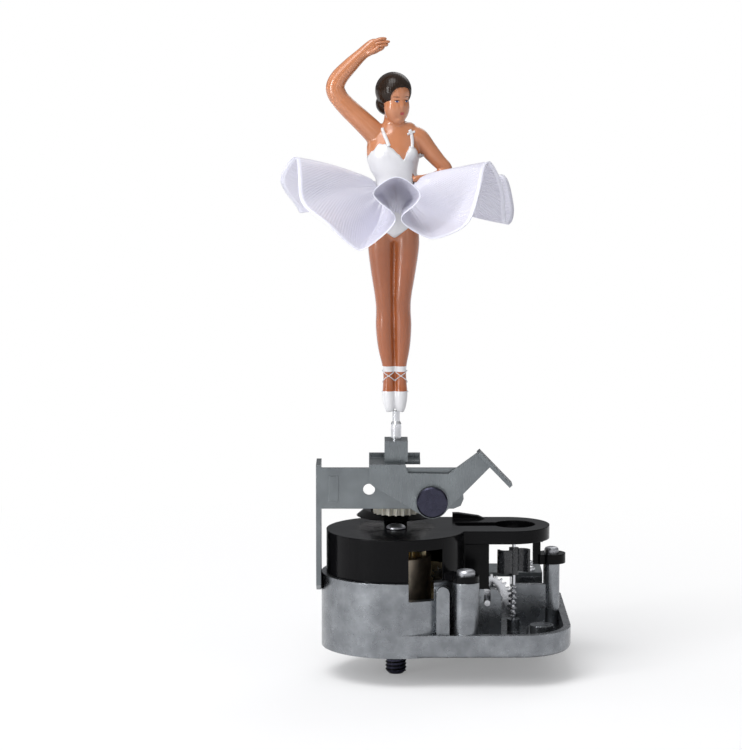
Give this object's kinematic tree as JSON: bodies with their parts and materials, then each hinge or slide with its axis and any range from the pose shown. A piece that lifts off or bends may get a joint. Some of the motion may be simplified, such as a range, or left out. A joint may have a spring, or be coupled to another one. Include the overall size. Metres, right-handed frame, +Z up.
{
  "type": "wind-up musical movement with a fold-down dancer",
  "caption": "Wind-up musical movement on a cast base, with a sprung fold-down lever that carries a turning ballerina figure in a ribbon skirt.",
  "frame": {"origin": "on the winding shaft's axis, at the flat underside of the cast base", "axes": "+Z up along the winding shaft, +X right along the base's long side, +Y back"},
  "size_m": [0.059, 0.0511, 0.1289],
  "materials": {
    "zinc_casting": "as cast",
    "black_plastic": "gloss",
    "zinc_plated_steel": "satin",
    "bright_steel": "turned",
    "black_steel": "blackened",
    "brass": "satin",
    "natural_nylon": "satin",
    "smoke_plastic": "satin",
    "painted_figure": "gloss paint",
    "satin_ribbon": "satin"
  },
  "bodies": {
    "base": {"base_casting": "zinc_casting", "cover": "black_plastic", "cover_screws": "bright_steel", "centre_rivet": "bright_steel", "bearing_plate_front": "zinc_plated_steel", "bearing_plate_rear": "zinc_plated_steel", "bearing_screws": "bright_steel", "comb": "zinc_plated_steel", "comb_screws": "bright_steel", "transfer_stud": "bright_steel", "governor_bridge": "zinc_plated_steel", "support_bracket": "zinc_plated_steel", "bracket_screw": "bright_steel", "pivot_pin": "black_steel", "pivot_washer": "zinc_plated_steel", "return_spring": "bright_steel"},
    "barrel": {"great_wheel": "brass", "spring_drum": "brass", "drum_top_gear": "brass", "mainspring": "bright_steel"},
    "winding": {"winding_shaft": "black_steel"},
    "transfer": {"transfer_wheel": "brass"},
    "cylinder": {"music_cylinder": "brass", "cylinder_arbor": "bright_steel", "cylinder_wheel": "brass"},
    "worm_drive": {"worm_wheel": "bright_steel", "worm_arbor": "bright_steel"},
    "governor": {"governor_worm": "bright_steel", "governor_fan": "smoke_plastic"},
    "idler": {"idler_shaft": "bright_steel", "idler_wheel": "black_plastic"},
    "lever": {"fold_lever": "zinc_plated_steel", "spindle_bridge": "zinc_plated_steel"},
    "dancer": {"spindle": "bright_steel", "spindle_sleeve": "bright_steel", "spindle_gear": "natural_nylon", "spindle_collar": "bright_steel", "ballerina": "painted_figure", "tutu": "satin_ribbon"}
  },
  "joints": [
    {"name": "lever_fold", "type": "hinge", "parent": "base", "child": "lever", "pos_m": [0.0072, 0, 0.0305], "axis": [0, 1, 0], "range_deg": [0, 68], "stiffness_Nm_per_rad": 0.004, "springref_deg": -57.3},
    {"name": "dancer_spin", "type": "hinge", "parent": "lever", "child": "dancer", "pos_m": [0, 0, 0.04], "axis": [0, 0, 1], "continuous": true},
    {"name": "barrel_spin", "type": "hinge", "parent": "base", "child": "barrel", "pos_m": [0, 0, 0.01], "axis": [0, 0, 1], "continuous": true},
    {"name": "winding_turn", "type": "hinge", "parent": "base", "child": "winding", "pos_m": [0, 0, 0], "axis": [0, 0, 1], "continuous": true},
    {"name": "idler_spin", "type": "hinge", "parent": "base", "child": "idler", "pos_m": [0, 0.009, 0.022], "axis": [0, 0, 1], "continuous": true},
    {"name": "transfer_spin", "type": "hinge", "parent": "base", "child": "transfer", "pos_m": [0.01, 0.01118, 0.005], "axis": [0, 0, 1], "continuous": true},
    {"name": "cylinder_spin", "type": "hinge", "parent": "base", "child": "cylinder", "pos_m": [0.01, 0.02, 0.0106], "axis": [0, 1, 0], "continuous": true},
    {"name": "worm_wheel_spin", "type": "hinge", "parent": "base", "child": "worm_drive", "pos_m": [0.0187, 0.005, 0.0083], "axis": [0, 1, 0], "continuous": true},
    {"name": "governor_spin", "type": "hinge", "parent": "base", "child": "governor", "pos_m": [0.0243, 0.005, 0.008], "axis": [0, 0, 1], "continuous": true}
  ],
  "couplings": [
    {"joint": "barrel_spin", "follows": "dancer_spin", "ratio": 0.49918},
    {"joint": "idler_spin", "follows": "dancer_spin", "ratio": -0.90476},
    {"joint": "transfer_spin", "follows": "dancer_spin", "ratio": -1.9967},
    {"joint": "cylinder_spin", "follows": "dancer_spin", "ratio": -2.8525},
    {"joint": "worm_wheel_spin", "follows": "dancer_spin", "ratio": 8.5574},
    {"joint": "governor_spin", "follows": "dancer_spin", "ratio": -239.61}
  ]
}
